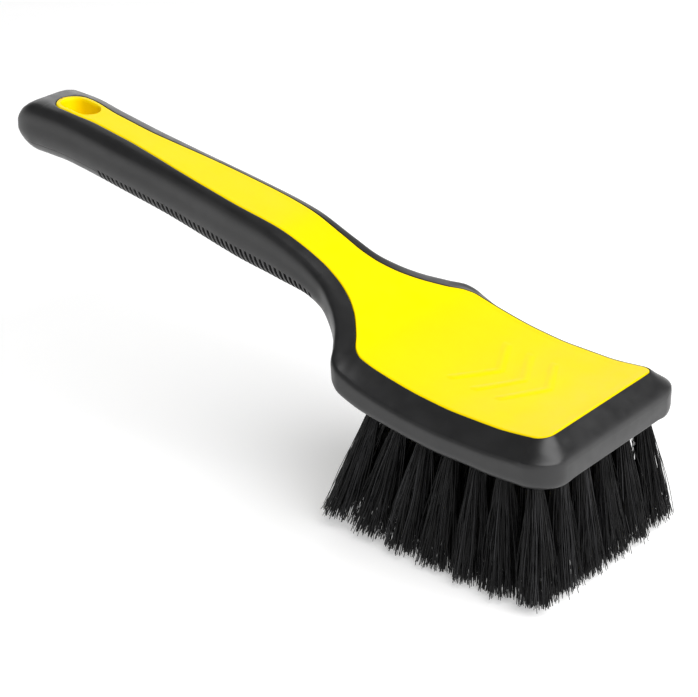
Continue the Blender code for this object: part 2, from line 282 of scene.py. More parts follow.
def rim_distance(x, y):
    """How far a point on the front part of the head lies inside the outline of the rubber."""
    half = curve_value(BODY_HALF_WIDTH, x)
    corner_x = NOSE_X - RIM_CORNER_RADIUS
    out_x = max(x - corner_x, 0.0)
    out_y = max(y - (half - RIM_CORNER_RADIUS), 0.0)
    return max(RIM_CORNER_RADIUS - math.hypot(out_x, out_y), 0.0)


def grip_controls(x, width, split):
    """Control points of the outside of the grip, from its lip to the bottom centre."""
    top, bottom = heights(x)
    face = curve_value(FACE_HALF_WIDTH, x)
    half = curve_value(BODY_HALF_WIDTH, x)
    crease = top - curve_value(CREASE_DROP, x)
    share = curve_value(HEAD_SHARE, x)
    depth = crease - bottom
    shelf = (blend(face, half, blend(0.66, 0.45, share)), blend(top, crease, 0.12 + 0.36 * share))
    shoulder = (blend(face, half, blend(0.93, 0.88, share)), blend(top, crease, 0.38 + 0.50 * share))
    handle = (
        (half, crease - 0.32 * depth), (0.93 * half, crease - 0.56 * depth),
        (0.72 * half, crease - 0.84 * depth), (0.40 * half, bottom + 0.5), (0.0, bottom),
    )
    head = (
        (half, crease - 0.45 * depth), (half - 0.15, bottom + 1.6),
        (half - 1.4, bottom + 0.2), (face - 1.0, bottom), (0.0, bottom),
    )
    lower = [(blend(a[0], b[0], share), blend(a[1], b[1], share)) for a, b in zip(handle, head)]
    if split:
        lower[3] = (width, bottom)
        lower[4] = (0.0, bottom)
    return [(width, top), shelf, shoulder, (half, crease)] + lower


def outside_curve(x, width, split):
    """The outside of the grip's section, before anything happens at the front or in a groove."""
    share = curve_value(HEAD_SHARE, x)
    sharpness = [blend(a, b, share) for a, b in zip(HANDLE_SHARPNESS, HEAD_SHARPNESS)]
    curve = sampled(grip_controls(x, width, split), sharpness)
    marks = [point_index(i) for i in range(len(HEAD_SOFTENING))]
    widths = np.interp(range(len(curve)), marks, HEAD_SOFTENING) * share
    return softened(curve, widths)


def rounded_nose(x, curve, width):
    """The section near the front, its bevel and wall wrapped round the corners of the rim."""
    crease_at = point_index(CREASE_POINT)
    half = curve[crease_at][0]
    along = max(0.0, x - (NOSE_X - RIM_CORNER_RADIUS))
    inset = RIM_CORNER_RADIUS - math.sqrt(max(0.0, RIM_CORNER_RADIUS**2 - along**2))
    face = curve_value(FACE_HALF_WIDTH, x) + SHUT_GAP
    bevel = outside_curve(x, face, False)[: crease_at + 1]
    share = (bevel[:, 0] - bevel[0, 0]) / (bevel[-1, 0] - bevel[0, 0])
    moved = []
    for i, (y, z) in enumerate(curve):
        if i <= crease_at:
            y = width + (y - width) * (half - inset - width) / (half - width)
            z = bevel_height(x, y, share, bevel)
        elif y > width:
            y = y - inset * (y / half)
        moved.append((y, z))
    return moved


def bevel_height(x, y, share, bevel):
    """Height of the bevel at a place near the front, from its share of the way to the rim."""
    from_face = max(outline_distance(x, y, NO_LIMIT, SHUT_GAP), 0.0)
    to_rim = rim_distance(x, y)
    return float(np.interp(from_face / max(from_face + to_rim, 1e-6), share, bevel[:, 1]))


def squeezed(points, x):
    """The section of the rounded handle end, or of the rounded front edge."""
    low = min(z for y, z in points)
    high = max(z for y, z in points)
    widest = max(y for y, z in points)
    side_inset = 0.0
    end_inset = 0.0
    into_end = END_X + END_ROUND - x
    if into_end > 0.0:
        turn = math.asin(min(into_end / END_ROUND, 1.0))
        side_inset = END_CORNER * (1.0 - math.cos(turn))
        end_inset = END_ROUND * (1.0 - math.cos(turn))
    into_nose = x - (NOSE_X - EDGE_ROUND)
    if into_nose > 0.0:
        end_inset = EDGE_ROUND - math.sqrt(max(0.0, EDGE_ROUND**2 - into_nose**2))
    if end_inset == 0.0:
        return points
    factor = (widest - side_inset) / widest
    middle = blend(low, high, 0.48)
    squeeze = (high - low - 2.0 * end_inset) / (high - low)
    return [(y * factor, middle + (z - middle) * squeeze) for y, z in points]


def grooved(outside, depth, start_z):
    """The outside of the grip pressed in along its normal below a height."""
    moved = [np.array(p) for p in outside]
    for i in range(point_index(CREASE_POINT), len(outside)):
        before = outside[i - 1]
        after = outside[min(i + 1, len(outside) - 1)]
        along = np.array(after) - np.array(before)
        normal = np.array((along[1], -along[0]))
        normal /= max(np.linalg.norm(normal), 1e-6)
        strength = smoothstep(start_z, start_z - 0.8, outside[i][1])
        moved[i] = moved[i] + normal * depth * strength
    moved[-1] = np.array((0.0, outside[-1][1] + depth))
    return moved


def hollow_points(x, width):
    """Inside of the grip where the core lies in the handle, from its floor to the lip."""
    top, bottom = heights(x)
    body = curve_value(BODY_HALF_WIDTH, x)
    share = curve_value(HEAD_SHARE, x)
    inner = max(blend(body - SLEEVE, width, share**0.5), width) + GAP
    tip_turn = (x - FACE_TIP_X + GAP) / (FACE_TIP_RADIUS + GAP)
    if tip_turn < 1.0:
        inner = min(inner, width + 1.4 * max(tip_turn, 0.0) + 0.05)
    floor = bottom + SLEEVE - GAP
    height = top - LIP - floor
    return [
        (0.0, floor), (0.31 * inner, floor), (0.62 * inner, floor),
        (inner, floor + 0.34 * height),
        (inner, top - LIP - blend(3.0, 0.4, share) + GAP),
        (width, top - LIP + GAP), (width, top - 1.2), (width, top - 0.6),
    ]


def grip_half(station):
    """One half section of the grip: hollow, lip, outside, underside, all of fixed point count."""
    x, kind, width, depth = station
    top, bottom = heights(x)
    split = kind == "split"
    outside = outside_curve(x, width, split)
    if x < FACE_TIP_X + FACE_TIP_RADIUS:
        outside = around_tip(x, width)
    crease = top - curve_value(CREASE_DROP, x)
    if depth > 0.0:
        along = (x - GROOVE_FIRST_X) / (GROOVE_COUNT * GROOVE_PITCH)
        outside = grooved(outside, depth, blend(crease, bottom, blend(0.50, 0.34, along)))
    seam_at = point_index(SEAM_POINT)
    seam = SEAM_DEPTH * smoothstep(30.0, 5.0, x) * smoothstep(-134.0, -126.0, x)
    outside[seam_at] = (outside[seam_at][0] - seam, outside[seam_at][1] + 0.3 * seam)
    level = top
    if x > FACE_NOSE_X - FACE_CORNER_RADIUS:
        outside = rounded_nose(x, outside, width)
        level = outside[0][1]
    if split:
        outside = opened_below(outside, width, bottom)
    inside = inside_points(x, kind, width, level)
    lip = []
    for i, (y, z) in enumerate(outside):
        if i < LIP_STEPS:
            z = z - lip_fall(x, y, width)
        lip.append((y, z))
    return squeezed(inside + lip, x)


def opening_wall_top():
    """Height where the wall of the opening under the head meets the inside of the grip."""
    return heights(OPENING_START_X)[1] + SLEEVE - GAP


def opened_below(outside, width, bottom):
    """The outside with its underside replaced by the wall of the opening under the head."""
    count = len(STRETCH_SAMPLES[-1])
    wall = [(width, blend(bottom, opening_wall_top(), (i + 1) / count)) for i in range(count)]
    return list(outside[:-count]) + wall


def inside_points(x, kind, width, level):
    """Inside of a grip section: the opening's wall, the hollow for the core, or none."""
    if kind == "split":
        top = heights(x)[0]
        last = INSIDE_STEPS - 1
        return [(width, blend(opening_wall_top(), top - 0.6, i / last)) for i in range(INSIDE_STEPS)]
    if kind == "hollow":
        return hollow_points(x, width)
    across = [width * i / INSIDE_STEPS for i in range(INSIDE_STEPS)]
    return [(y, level - lip_fall(x, y, width)) for y in across]


def around_tip(x, width):
    """The outside near the rounded end of the yellow face, its height the same for any lip."""
    full = curve_value(FACE_HALF_WIDTH, x) + SHUT_GAP
    curve = outside_curve(x, full, False)
    shelf_at = point_index(1)
    shelf = curve[shelf_at][0]
    moved = curve.copy()
    for i in range(shelf_at):
        y = width + (curve[i][0] - full) * (shelf - width) / (shelf - full)
        moved[i] = (y, float(np.interp(y, curve[: shelf_at + 1, 0], curve[: shelf_at + 1, 1])))
    return moved


def lip_fall(x, y, width):
    """How far the rubber's edge drops beside the yellow face."""
    away = max(outline_distance(x, y, width, SHUT_GAP), 0.0)
    return LIP_DROP * math.exp(-away / LIP_REACH)


def groove_stations():
    """Places and depths of the sections that shape the rib grooves."""
    places = []
    for k in range(GROOVE_COUNT):
        start = GROOVE_FIRST_X + k * GROOVE_PITCH
        for offset, share in GROOVE_PROFILE:
            places.append((start + offset, GROOVE_DEPTH * share))
    return places


def grip_stations():
    """Every section of the grip: place, kind, half width of the shut line and groove depth."""
    stations = []
    tip = FACE_TIP_RADIUS + SHUT_GAP
    tip_centre = FACE_TIP_X + FACE_TIP_RADIUS
    for degrees in (87, 80, 73, 66, 59, 52, 45, 38, 31, 24, 17, 10, 4):
        x = END_X + END_ROUND * (1.0 - math.sin(math.radians(degrees)))
        stations.append((x, "solid", 0.0, 0.0))
    for back in (3.2, 2.4, 1.8, 1.2, 0.8, 0.5, 0.28, 0.12, 0.0):
        stations.append((tip_centre - tip - back, "solid", 0.0, 0.0))
    for degrees in [0.0] + steps(6.0, 90.0, 14):
        turn = math.radians(degrees)
        stations.append((tip_centre - tip * math.cos(turn), "hollow", tip * math.sin(turn), 0.0))
    plain = steps(tip_centre, -90.0, 12)
    plain += steps(21.5, 30.0, 7) + steps(30.0, OPENING_START_X, 34)
    for x in plain:
        stations.append((x, "hollow", curve_value(FACE_HALF_WIDTH, x) + SHUT_GAP, 0.0))
    for x, depth in groove_stations():
        stations.append((x, "hollow", curve_value(FACE_HALF_WIDTH, x) + SHUT_GAP, depth))
    stations.sort(key=lambda s: s[0])
    face = curve_value(FACE_HALF_WIDTH, OPENING_START_X) + SHUT_GAP
    stations.append((OPENING_START_X, "hollow", face, 0.0))
    return stations + head_stations()


def head_stations():
    """The sections of the grip from the start of the opening to the front."""
    stations = []
    corner_x = FACE_NOSE_X - FACE_CORNER_RADIUS
    straight = steps(OPENING_START_X, 66.0, 10) + steps(66.0, corner_x, 32)
    for x in straight:
        stations.append((x, "split", curve_value(FACE_HALF_WIDTH, x) + SHUT_GAP, 0.0))
    corner = FACE_CORNER_RADIUS + SHUT_GAP
    face = curve_value(FACE_HALF_WIDTH, corner_x)
    width = face
    for degrees in steps(0.0, 90.0, 14) + [90.0]:
        turn = math.radians(degrees)
        width = face - FACE_CORNER_RADIUS + corner * math.cos(turn)
        stations.append((corner_x + corner * math.sin(turn), "split", width, 0.0))
    front = corner_x + corner
    for ahead in (0.0, 0.1, 0.22, 0.4, 0.7, 1.1, 1.6, 2.1):
        stations.append((front + ahead, "solid", width, 0.0))
    rim_corner_x = NOSE_X - RIM_CORNER_RADIUS
    first = math.degrees(math.asin((front + 2.5 - rim_corner_x) / RIM_CORNER_RADIUS))
    for degrees in steps(first, 88.0, 22) + [88.0]:
        x = rim_corner_x + RIM_CORNER_RADIUS * math.sin(math.radians(degrees))
        stations.append((x, "solid", width, 0.0))
    return stations


# ---- Meshes ----


def mesh_from(name, verts, faces):
    """A mesh from points in millimetres in the CAD's frame, before its shift."""
    mesh = bpy.data.meshes.new(name)
    placed = (np.asarray(verts, float) + np.array(FRAME_SHIFT)) * MM
    mesh.from_pydata(placed.tolist(), [], faces)
    return mesh


def mirrored_skin(name, xs, halves, kinds=None):
    """A closed mesh through half sections of equal point count, mirrored across y = 0."""
    count = len(halves[0])
    verts = []
    faces = []
    for side in (1.0, -1.0):
        base = len(verts)
        for x, half in zip(xs, halves):
            verts.extend((x, side * float(y), float(z)) for y, z in half)
        for s in range(len(xs) - 1):
            near = base + s * count
            far = near + count
            for j in range(count - 1):
                faces.append((near + j, near + j + 1, far + j + 1, far + j))
            if kinds and (kinds[s] == "split") != (kinds[s + 1] == "split"):
                joined, other = (far, near) if kinds[s] == "split" else (near, far)
                faces.append((joined, other, joined + count - 1))
        faces.append(tuple(base + j for j in range(count)))
        last = base + (len(xs) - 1) * count
        faces.append(tuple(last + j for j in range(count)))
    mesh = mesh_from(name, verts, faces)
    shape = bmesh.new()
    shape.from_mesh(mesh)
    bmesh.ops.remove_doubles(shape, verts=shape.verts, dist=0.002 * MM)
    bmesh.ops.dissolve_degenerate(shape, edges=shape.edges, dist=0.001 * MM)
    bmesh.ops.recalc_face_normals(shape, faces=shape.faces)
    shape.to_mesh(mesh)
    shape.free()
    return mesh


def add_piece(name, mesh, surface):
    piece = bpy.data.objects.new(name, mesh)
    bpy.context.scene.collection.objects.link(piece)
    mesh.materials.append(surface)
    return piece


def weld(piece):
    """Joins points that lie together after a Boolean and closes small holes."""
    shape = bmesh.new()
    shape.from_mesh(piece.data)
    bmesh.ops.remove_doubles(shape, verts=shape.verts, dist=0.004 * MM)
    bmesh.ops.dissolve_degenerate(shape, edges=shape.edges, dist=0.004 * MM)
    open_edges = [edge for edge in shape.edges if edge.is_boundary]
    bmesh.ops.holes_fill(shape, edges=open_edges, sides=8)
    bmesh.ops.recalc_face_normals(shape, faces=shape.faces)
    shape.to_mesh(piece.data)
    shape.free()


def shade(piece, degrees):
    piece.data.shade_smooth()
    piece.data.set_sharp_from_angle(angle=math.radians(degrees))


def ring_prism(name, rings):
    """A closed mesh through horizontal rings of equal point count."""
    count = len(rings[0])
    verts = [p for ring in rings for p in ring]
    faces = []
    for level in range(len(rings) - 1):
        for i in range(count):
            j = (i + 1) % count
            a = level * count
            faces.append((a + i, a + j, a + count + j, a + count + i))
    faces.append(tuple(reversed(range(count))))
    faces.append(tuple(range(len(verts) - count, len(verts))))
    mesh = mesh_from(name, verts, faces)
    shape = bmesh.new()
    shape.from_mesh(mesh)
    bmesh.ops.recalc_face_normals(shape, faces=shape.faces)
    shape.to_mesh(mesh)
    shape.free()
    return mesh


def carve(piece, mesh, operation="DIFFERENCE"):
    """Applies a Boolean with the mesh to the piece and removes the helper."""
    helper = bpy.data.objects.new("helper", mesh)
    bpy.context.scene.collection.objects.link(helper)
    step = piece.modifiers.new("cut", "BOOLEAN")
    step.operation = operation
    step.solver = "EXACT"
    step.object = helper
    graph = bpy.context.evaluated_depsgraph_get()
    result = bpy.data.meshes.new_from_object(piece.evaluated_get(graph), depsgraph=graph)
    surfaces = list(piece.data.materials)
    piece.modifiers.clear()
    old = piece.data
    result.name = old.name
    piece.data = result
    bpy.data.meshes.remove(old)
    if not piece.data.materials:
        for surface in surfaces:
            piece.data.materials.append(surface)
    bpy.data.objects.remove(helper)
    bpy.data.meshes.remove(mesh)


def oval_ring(half_length, half_width, height, sides=72):
    """A level-following oval round the hang hole; height says the z at each x."""
    ring = []
    straight = half_length - half_width
    for i in range(sides):
        turn = 2.0 * math.pi * (i + 0.5) / sides
        x = HOLE_X + half_width * math.cos(turn) + math.copysign(straight, math.cos(turn))
        ring.append((x, half_width * math.sin(turn), height(x)))
    return ring


def hole_cutter(flare):
    """The hang hole's cutter, its two mouths flared for rounded edges."""
    rings = []
    for depth, wide in ((6.0, 1.0), (0.0, 1.0), (-0.15, 0.72), (-0.45, 0.4), (-0.9, 0.12), (-1.4, 0.0)):
        widen = flare * wide
        rings.append(
            oval_ring(HOLE_HALF_LENGTH + widen, HOLE_HALF_WIDTH + widen,
                      lambda x, d=depth: heights(x)[1] - d)
        )
    for depth, wide in ((-1.4, 0.0), (-0.9, 0.12), (-0.45, 0.4), (-0.15, 0.72), (0.0, 1.0), (6.0, 1.0)):
        widen = flare * wide
        rings.append(
            oval_ring(HOLE_HALF_LENGTH + widen, HOLE_HALF_WIDTH + widen,
                      lambda x, d=depth: heights(x)[0] + CORE_CROWN + d)
        )
    return ring_prism("hang_hole", rings)


def liner_prism(grow, below, above):
    """The yellow liner round the hang hole, as a plain oval column."""
    length = HOLE_HALF_LENGTH + HOLE_LINER_WALL + grow
    width = HOLE_HALF_WIDTH + HOLE_LINER_WALL + grow
    rings = [
        oval_ring(length, width, lambda x: heights(x)[1] - below),
        oval_ring(length, width, lambda x: heights(x)[0] + above),
    ]
    return ring_prism("liner", rings)


# ---- Grip ----


def build_grip(surface):
    stations = grip_stations()
    xs = [s[0] for s in stations]
    kinds = [s[1] for s in stations]
    halves = [grip_half(s) for s in stations]
    mesh = mirrored_skin("rubber_grip", xs, halves, kinds)
    grip = add_piece("rubber_grip", mesh, surface)
    carve(grip, liner_prism(SHUT_GAP, 8.0, 8.0))
    weld(grip)
    shade(grip, 34.0)
    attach(grip, "root")
    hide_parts("grip_overmould")


# ---- Core ----


def relief(x, y):
    """Height of the three shallow chevron bars on the head face."""
    rise = 0.0
    for centre in BAR_CENTRES:
        from_line = abs(x - centre + 0.55 * (abs(y) - 8.0))
        if abs(y) < BAR_REACH:
            across = smoothstep(BAR_HALF_WIDTH + 0.5, BAR_HALF_WIDTH - 0.5, from_line)
            ends = smoothstep(BAR_REACH, BAR_REACH - 1.4, abs(y))
            rise = max(rise, BAR_RISE * across * ends)
    return rise


def core_half(x, width, opened):
    """Half section of the core, from the top centre to the floor centre."""
    top, bottom = heights(x)
    body = curve_value(BODY_HALF_WIDTH, x)
    share = curve_value(HEAD_SHARE, x)
    inner = max(blend(body - SLEEVE, width, share**0.5), width)
    tip_turn = (x - FACE_TIP_X) / FACE_TIP_RADIUS
    if tip_turn < 1.0:
        inner = min(inner, width + 1.4 * max(tip_turn, 0.0))
    floor = blend(bottom + SLEEVE, bottom + 0.6, opened)
    height = top - LIP - floor
    points = []
    edge = min(CORE_EDGE, 0.5 * width)
    for i in range(FACE_STEPS):
        y = (width - edge) * i / FACE_STEPS
        points.append((y, top + CORE_CROWN + relief(x, y)))
    for degrees in (0, 15, 30, 45, 60, 75, 90):
        turn = math.radians(degrees)
        points.append((
            width - edge * (1.0 - math.sin(turn)),
            top + CORE_CROWN - CORE_EDGE * (1.0 - math.cos(turn)),
        ))
    points += [
        (width, top - 1.4), (width, top - LIP),
        (inner, top - LIP - blend(3.0, 0.4, share)),
        (inner, floor + blend(0.34, 0.02, share) * height),
        (blend(0.62 * inner, inner, share), floor),
        (0.5 * inner, floor), (0.0, floor),
    ]
    return points


def core_stations():
    """Every section of the core: place, half width and whether it reaches the underside."""
    stations = []
    tip_centre = FACE_TIP_X + FACE_TIP_RADIUS
    for degrees in [4.0] + steps(9.0, 90.0, 14):
        turn = math.radians(degrees)
        x = tip_centre - FACE_TIP_RADIUS * math.cos(turn)
        stations.append((x, FACE_TIP_RADIUS * math.sin(turn), 0.0))
    opening = OPENING_START_X + GAP
    for x in steps(tip_centre, 15.0, 52) + steps(15.0, opening, 36) + [opening]:
        stations.append((x, curve_value(FACE_HALF_WIDTH, x), 0.0))
    corner_x = FACE_NOSE_X - FACE_CORNER_RADIUS
    for x in steps(opening, 78.0, 14) + steps(78.0, 120.0, 84) + steps(120.0, corner_x, 5):
        stations.append((x, curve_value(FACE_HALF_WIDTH, x), 1.0))
    face = curve_value(FACE_HALF_WIDTH, corner_x)
    for degrees in steps(0.0, 88.0, 12) + [88.0]:
        turn = math.radians(degrees)
        width = face - FACE_CORNER_RADIUS * (1.0 - math.cos(turn))
        stations.append((corner_x + FACE_CORNER_RADIUS * math.sin(turn), width, 1.0))
    return stations


def edge_round_ends(x, half):
    """Rounds the top edge of the core where its outline turns across the brush."""
    at_end = x < FACE_TIP_X + FACE_TIP_RADIUS or x > FACE_NOSE_X - FACE_CORNER_RADIUS
    moved = []
    for i, (y, z) in enumerate(half):
        inside = -outline_distance(x, y, NO_LIMIT, 0.0)
        if at_end and i < FACE_STEPS and inside < CORE_EDGE:
            reach = CORE_EDGE - max(inside, 0.0)
            z = z - (CORE_EDGE - math.sqrt(max(CORE_EDGE**2 - reach**2, 0.0)))
        moved.append((y, z))
    return moved


def tuft_places():
    """Row, column, root centre and lean of every tuft."""
    places = []
    for row in range(TUFT_ROWS):
        along = row / (TUFT_ROWS - 1)
        x = blend(TUFT_FIRST_X, TUFT_LAST_X, along)
        lean_x = blend(-TUFT_TILT_BACK, TUFT_TILT_FRONT, along)
        for column in range(TUFT_COLUMNS):
            across = 2.0 * column / (TUFT_COLUMNS - 1) - 1.0
            lean_y = across * TUFT_TILT_SIDE
            lean = np.array((math.tan(math.radians(lean_x)), math.tan(math.radians(lean_y)), -1.0))
            places.append((row, column, np.array((x, across * TUFT_SIDE_Y, heights(x)[1])), lean))
    return places


def circle(centre, radius, sides):
    ring = []
    for i in range(sides):
        turn = 2.0 * math.pi * (i + 0.5) / sides
        ring.append((centre[0] + radius * math.cos(turn), centre[1] + radius * math.sin(turn), centre[2]))
    return ring


def hole_cutters():
    """One mesh with the cutter of every tuft hole, each a little flared at its mouth."""
    joined = bmesh.new()
    for row, column, root, lean in tuft_places():
        radius = TUFT_ROOT_RADIUS + GAP
        mesh = ring_prism("hole", [
            circle(root + lean * 3.0, radius + 0.3, 24),
            circle(root - lean * 0.6, radius + 0.3, 24),
            circle(root - lean * 0.95, radius, 24),
            circle(root - lean * TUFT_HOLE_DEPTH, radius, 24),
        ])
        joined.from_mesh(mesh)
        bpy.data.meshes.remove(mesh)
    mesh = bpy.data.meshes.new("holes")
    joined.to_mesh(mesh)
    joined.free()
    return mesh


def build_core(surface):
    stations = core_stations()
    xs = [s[0] for s in stations]
    halves = [edge_round_ends(x, core_half(x, width, opened)) for x, width, opened in stations]
    core = add_piece("yellow_core", mirrored_skin("yellow_core", xs, halves), surface)
    carve(core, liner_prism(0.0, -0.3, -1.0), "UNION")
    carve(core, hole_cutter(0.55))
    carve(core, hole_cutters())
    shade(core, 34.0)
    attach(core, "root")
    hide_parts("core")


# ---- Bristles ----


def strand_spread(root, rng):
    """Where each filament starts and ends across its tuft, in millimetres from the tuft's axis."""
    across = root[1] / TUFT_SIDE_Y
    spot = disc_places(STRANDS, 0.0, rng)
    locks = disc_places(14, 0.05, rng)
    nearest = np.argmin(((spot[:, None] - locks[None]) ** 2).sum(2), axis=1)
    start = spot * (TUFT_ROOT_RADIUS - STRAND_RADIUS - 0.05)
    pull = rng.uniform(0.0, 0.35, (STRANDS, 1))
    end = (spot * (1.0 - pull) + locks[nearest] * pull) * (TUFT_TIP_RADIUS + 1.2)
    end += rng.normal(0.0, 0.9, (STRANDS, 2))
    stray = rng.uniform(0.0, 1.0, STRANDS) < 0.04
    end[stray] *= rng.uniform(1.1, 1.35, (int(stray.sum()), 1))
    if abs(across) > 0.9:
        outward = end[:, 1] * across > 0.0
        end[outward, 1] *= 0.85
    if in_front_row(root) or in_back_row(root):
        outward = end[:, 0] * (1.0 if in_front_row(root) else -1.0) > 0.0
        end[outward, 0] *= 0.7
    return start, end


def in_front_row(root):
    return root[0] > TUFT_LAST_X - 1.0


def in_back_row(root):
    return root[0] < TUFT_FIRST_X + 1.0


def strand_raggedness(rng):
    """How far each filament ends above the trimmed surface. Some are cut short, a few are long."""
    ragged = np.abs(rng.normal(0.0, 0.5, STRANDS))
    short = rng.uniform(0.0, 1.0, STRANDS) < 0.08
    ragged[short] += rng.uniform(0.5, 3.0, int(short.sum()))
    longer = rng.uniform(0.0, 1.0, STRANDS) < 0.04
    ragged[longer] -= rng.uniform(0.5, 1.8, int(longer.sum()))
    return ragged


def strand_paths(root, lean, rng):
    """Centre lines of a tuft's filaments: (filament, step, xyz)."""
    belly = np.array((1.8 if in_front_row(root) else 0.0, 1.3 * (root[1] / TUFT_SIDE_Y) ** 3))
    start, end = strand_spread(root, rng)
    tip_xy = root[:2] + lean[:2] * root[2] + end
    floor = STRAND_RADIUS - FRAME_SHIFT[2]
    end_z = np.maximum(tip_surface(tip_xy) + strand_raggedness(rng), floor)
    bow = rng.normal(0.0, 0.9, (STRANDS, 2))
    curl = rng.normal(0.0, 0.8, (STRANDS, 2))
    wave = rng.normal(0.0, 0.22, (STRANDS, 2))
    phase = rng.uniform(0.0, 2.0 * math.pi, (STRANDS, 1))
    paths = np.zeros((STRANDS, STRAND_STEPS + 1, 3))
    deep = root - lean * (TUFT_HOLE_DEPTH - 1.6)
    paths[:, 0, :2] = deep[:2] + start
    paths[:, 0, 2] = deep[2]
    for k in range(STRAND_STEPS):
        t = k / (STRAND_STEPS - 1)
        z = root[2] + (end_z - root[2]) * t
        spread = t**0.85
        axis = root[None, :2] + lean[None, :2] * (root[2] - z)[:, None]
        offset = start * (1.0 - spread) + end * spread
        offset = offset + bow * math.sin(math.pi * t) * t + curl * t**3
        offset = offset + wave * np.sin(phase + 11.0 * t) * min(4.0 * t, 1.0)
        offset = offset + belly * (1.0 - t) * min(t / 0.12, 1.0)
        paths[:, k + 1, :2] = axis + offset
        paths[:, k + 1, 2] = z
    return paths


def disc_places(count, inner, rng):
    """Evenly scattered places in a disc of radius 1."""
    angle = rng.uniform(0.0, 2.0 * math.pi, count)
    radius = np.sqrt(rng.uniform(inner, 1.0, count))
    return np.stack([radius * np.cos(angle), radius * np.sin(angle)], axis=1)


def tip_surface(places):
    """Height of the slightly domed surface that the filament tips end on."""
    x, y = places[:, 0], places[:, 1]
    reach = np.maximum(np.abs(x - TIP_CROWN_X) - TIP_CROWN_FLAT, 0.0)
    crown = TIP_CROWN_RISE * (reach / TIP_CROWN_REACH) ** 2
    side = TIP_SIDE_RISE * (y / TUFT_SIDE_Y) ** 2 * 0.6
    first = TUFT_FIRST_X - math.tan(math.radians(TUFT_TILT_BACK)) * heights(TUFT_FIRST_X)[1]
    last = TUFT_LAST_X + math.tan(math.radians(TUFT_TILT_FRONT)) * heights(TUFT_LAST_X)[1]
    beyond_x = np.maximum(np.maximum(first - x, x - last), 0.0)
    beyond_y = np.maximum(np.abs(y) - TUFT_SIDE_Y - 6.0, 0.0)
    return crown + side + 0.1 * (beyond_x + beyond_y) - FRAME_SHIFT[2]


def tuft_mesh(name, root, lean, rng):
    """Every filament of one tuft as a thin tapered tube."""
    paths = strand_paths(root, lean, rng)
    rings = STRAND_STEPS + 1
    turn = rng.uniform(0.0, 2.0 * math.pi, STRANDS)
    around = turn[:, None] + np.arange(STRAND_SIDES)[None] * (2.0 * math.pi / STRAND_SIDES)
    circle_xy = np.stack([np.cos(around), np.sin(around)], axis=2)
    taper = np.linspace(1.0, 0.85, rings)
    thick = STRAND_RADIUS * rng.uniform(0.85, 1.15, STRANDS)
    verts = np.repeat(paths[:, :, None, :], STRAND_SIDES, axis=2)
    verts[..., :2] += circle_xy[:, None] * (thick[:, None] * taper[None])[..., None, None]
    per_strand = rings * STRAND_SIDES
    faces = []
    for s in range(STRANDS):
        base = s * per_strand
        for k in range(rings - 1):
            for i in range(STRAND_SIDES):
                j = (i + 1) % STRAND_SIDES
                a = base + k * STRAND_SIDES
                faces.append((a + j, a + i, a + STRAND_SIDES + i, a + STRAND_SIDES + j))
        faces.append(tuple(base + i for i in range(STRAND_SIDES)))
        tip_base = base + (rings - 1) * STRAND_SIDES
        faces.append(tuple(tip_base + i for i in reversed(range(STRAND_SIDES))))
    mesh = mesh_from(name, verts.reshape(-1, 3), faces)
    tone = np.repeat(rng.uniform(0.0, 1.0, STRANDS), per_strand).astype(np.float32)
    mesh.attributes.new("strand_tone", "FLOAT", "POINT").data.foreach_set("value", tone)
    return mesh


def build_bristles(surface):
    rng = np.random.RandomState(SEED)
    for row, column, root, lean in tuft_places():
        name = f"bristles_row{row + 1}_col{column + 1}"
        tuft = add_piece(name, tuft_mesh(name, root, lean, rng), surface)
        shade(tuft, 80.0)
        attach(tuft, "root")
        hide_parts(f"tuft_row{row + 1}_col{column + 1}")


def build_anchors(surface):
    """Flat wire anchors at the bottom of the tuft holes, as one piece. The CAD has no shape for them."""
    half_length = TUFT_ROOT_RADIUS
    half_width = 0.9
    joined = bmesh.new()
    for row, column, root, lean in tuft_places():
        place = root - lean * (TUFT_HOLE_DEPTH - 1.5)
        rings = []
        for bend, drop in ((-1.0, 0.9), (-0.8, 0.25), (-0.4, 0.0), (0.4, 0.0), (0.8, 0.25), (1.0, 0.9)):
            x = place[0] + bend * half_length
            rings.append([
                (x, place[1] - half_width, place[2] - drop), (x, place[1] + half_width, place[2] - drop),
                (x, place[1] + half_width, place[2] - drop + 0.4),
                (x, place[1] - half_width, place[2] - drop + 0.4),
            ])
        mesh = ring_prism("anchor", rings)
        joined.from_mesh(mesh)
        bpy.data.meshes.remove(mesh)
    bmesh.ops.bevel(joined, geom=joined.edges, offset=0.06 * MM, segments=2, affect="EDGES")
    mesh = bpy.data.meshes.new("tuft_anchors")
    joined.to_mesh(mesh)
    joined.free()
    anchors = add_piece("tuft_anchors", mesh, surface)
    shade(anchors, 40.0)
    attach(anchors, "root")


# ---- Materials ----


def new_surface(name, roughness, metallic=0.0):
    """A Principled material and its node tree."""
    surface = bpy.data.materials.new(name)
    surface.use_nodes = True
    tree = surface.node_tree
    shader = tree.nodes["Principled BSDF"]
    shader.inputs["Roughness"].default_value = roughness
    shader.inputs["Metallic"].default_value = metallic
    return surface, tree, shader


def noise(tree, scale, detail=4.0, stretch=(1.0, 1.0, 1.0)):
    """Noise in object space, its scale in cycles per metre."""
    place = tree.nodes.new("ShaderNodeTexCoord")
    mapping = tree.nodes.new("ShaderNodeMapping")
    mapping.inputs["Scale"].default_value = stretch
    texture = tree.nodes.new("ShaderNodeTexNoise")
    texture.inputs["Scale"].default_value = scale
    texture.inputs["Detail"].default_value = detail
    tree.links.new(place.outputs["Object"], mapping.inputs["Vector"])
    tree.links.new(mapping.outputs["Vector"], texture.inputs["Vector"])
    return texture.outputs["Fac"]


